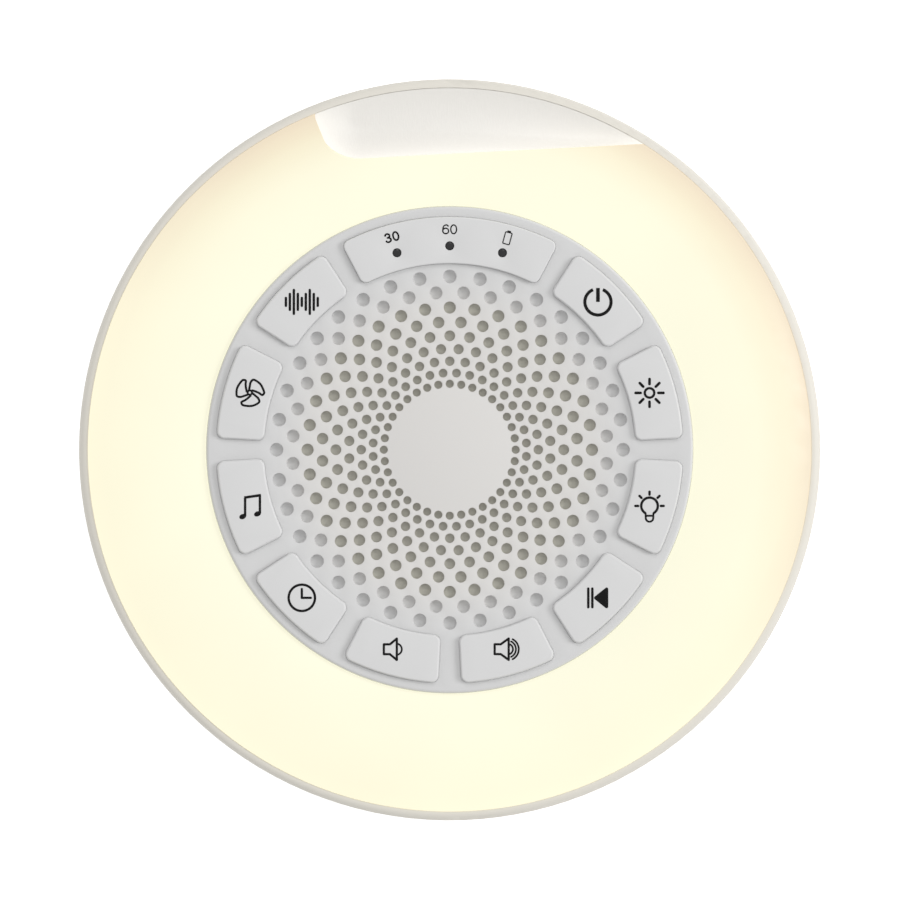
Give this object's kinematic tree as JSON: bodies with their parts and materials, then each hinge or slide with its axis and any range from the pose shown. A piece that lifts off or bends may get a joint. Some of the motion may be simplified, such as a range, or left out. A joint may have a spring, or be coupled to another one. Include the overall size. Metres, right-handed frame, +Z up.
{
  "type": "white noise sound machine",
  "caption": "Round table-top white noise machine: drum housing with a domed glowing ring, crescent grip and a flat control panel of sprung keys round a pierced speaker grille.",
  "frame": {"origin": "on the table under the centre of the round body, in the plane of the feet", "axes": "+Z up, normal to the face with the keys; +Y to the rear, where the indicator bar, the grip and the charging socket are; +X to the right"},
  "size_m": [0.11, 0.11, 0.0394],
  "materials": {
    "white_shell": "matt, fine texture",
    "grip_white": "matt, fine texture",
    "diffuser": "satin, translucent, lit from within",
    "panel_grey": "satin",
    "key_grey": "satin",
    "indicator_black": "polished",
    "cloth": "fine woven",
    "foot_rubber": "matt",
    "frame_white": "matt",
    "screw_steel": "zinc plated",
    "gasket_foam": "foam",
    "basket_black": "black",
    "surround_rubber": "satin",
    "cone_paper": "paper",
    "coil_copper": "wound",
    "spider_cloth": "woven",
    "pole_steel": "zinc plated",
    "magnet_ferrite": "ferrite",
    "terminal_tin": "tinned",
    "board_green": "solder mask",
    "board_white": "solder mask",
    "switch_black": "moulded",
    "plunger_white": "moulded",
    "lamp_yellow": "moulded",
    "chip_black": "moulded",
    "connector_white": "moulded",
    "cell_foil": "foil pouch",
    "tape": "foam tape",
    "wire_red": "insulation",
    "wire_black": "insulation",
    "wire_white": "insulation"
  },
  "bodies": {
    "housing": {"base_shell": "white_shell", "foot_pads": "foot_rubber", "housing_screws": "screw_steel", "mid_frame": "frame_white", "glow_ring": "diffuser", "grip_insert": "grip_white", "control_panel": "panel_grey", "panel_screws": "screw_steel", "indicator_bar": "key_grey", "indicator_lenses": "indicator_black", "grille_cloth": "cloth", "speaker_gasket": "gasket_foam", "speaker_frame": "basket_black", "speaker_surround": "surround_rubber", "speaker_cone": "cone_paper", "speaker_dust_cap": "cone_paper", "speaker_voice_coil": "coil_copper", "speaker_spider": "spider_cloth", "speaker_top_plate": "pole_steel", "speaker_magnet": "magnet_ferrite", "speaker_yoke": "pole_steel", "speaker_terminals": "terminal_tin", "key_board": "board_green", "switch_bodies": "switch_black", "indicator_lamps": "lamp_yellow", "lamp_board": "board_white", "ring_lamps": "lamp_yellow", "lamp_board_screws": "screw_steel", "main_board": "board_green", "board_chips": "chip_black", "board_connectors": "connector_white", "usb_socket": "pole_steel", "main_board_screws": "screw_steel", "battery_cell": "cell_foil", "battery_tape": "tape", "battery_leads": "wire_red", "speaker_leads": "wire_black", "lamp_leads": "wire_white", "key_ribbon": "wire_white"},
    "power_key": {"key_power": "key_grey", "plunger_power": "plunger_white"},
    "brightness_key": {"key_brightness": "key_grey", "plunger_brightness": "plunger_white"},
    "light_key": {"key_light": "key_grey", "plunger_light": "plunger_white"},
    "previous_key": {"key_previous": "key_grey", "plunger_previous": "plunger_white"},
    "volume_up_key": {"key_volume_up": "key_grey", "plunger_volume_up": "plunger_white"},
    "volume_down_key": {"key_volume_down": "key_grey", "plunger_volume_down": "plunger_white"},
    "timer_key": {"key_timer": "key_grey", "plunger_timer": "plunger_white"},
    "music_key": {"key_music": "key_grey", "plunger_music": "plunger_white"},
    "fan_key": {"key_fan": "key_grey", "plunger_fan": "plunger_white"},
    "noise_key": {"key_noise": "key_grey", "plunger_noise": "plunger_white"}
  },
  "joints": [
    {"name": "power_press", "type": "slide", "parent": "housing", "child": "power_key", "axis": [0, 0, -1], "range_m": [0, 0.0006], "stiffness_N_per_m": 2500},
    {"name": "brightness_press", "type": "slide", "parent": "housing", "child": "brightness_key", "axis": [0, 0, -1], "range_m": [0, 0.0006], "stiffness_N_per_m": 2500},
    {"name": "light_press", "type": "slide", "parent": "housing", "child": "light_key", "axis": [0, 0, -1], "range_m": [0, 0.0006], "stiffness_N_per_m": 2500},
    {"name": "previous_press", "type": "slide", "parent": "housing", "child": "previous_key", "axis": [0, 0, -1], "range_m": [0, 0.0006], "stiffness_N_per_m": 2500},
    {"name": "volume_up_press", "type": "slide", "parent": "housing", "child": "volume_up_key", "axis": [0, 0, -1], "range_m": [0, 0.0006], "stiffness_N_per_m": 2500},
    {"name": "volume_down_press", "type": "slide", "parent": "housing", "child": "volume_down_key", "axis": [0, 0, -1], "range_m": [0, 0.0006], "stiffness_N_per_m": 2500},
    {"name": "timer_press", "type": "slide", "parent": "housing", "child": "timer_key", "axis": [0, 0, -1], "range_m": [0, 0.0006], "stiffness_N_per_m": 2500},
    {"name": "music_press", "type": "slide", "parent": "housing", "child": "music_key", "axis": [0, 0, -1], "range_m": [0, 0.0006], "stiffness_N_per_m": 2500},
    {"name": "fan_press", "type": "slide", "parent": "housing", "child": "fan_key", "axis": [0, 0, -1], "range_m": [0, 0.0006], "stiffness_N_per_m": 2500},
    {"name": "noise_press", "type": "slide", "parent": "housing", "child": "noise_key", "axis": [0, 0, -1], "range_m": [0, 0.0006], "stiffness_N_per_m": 2500}
  ]
}
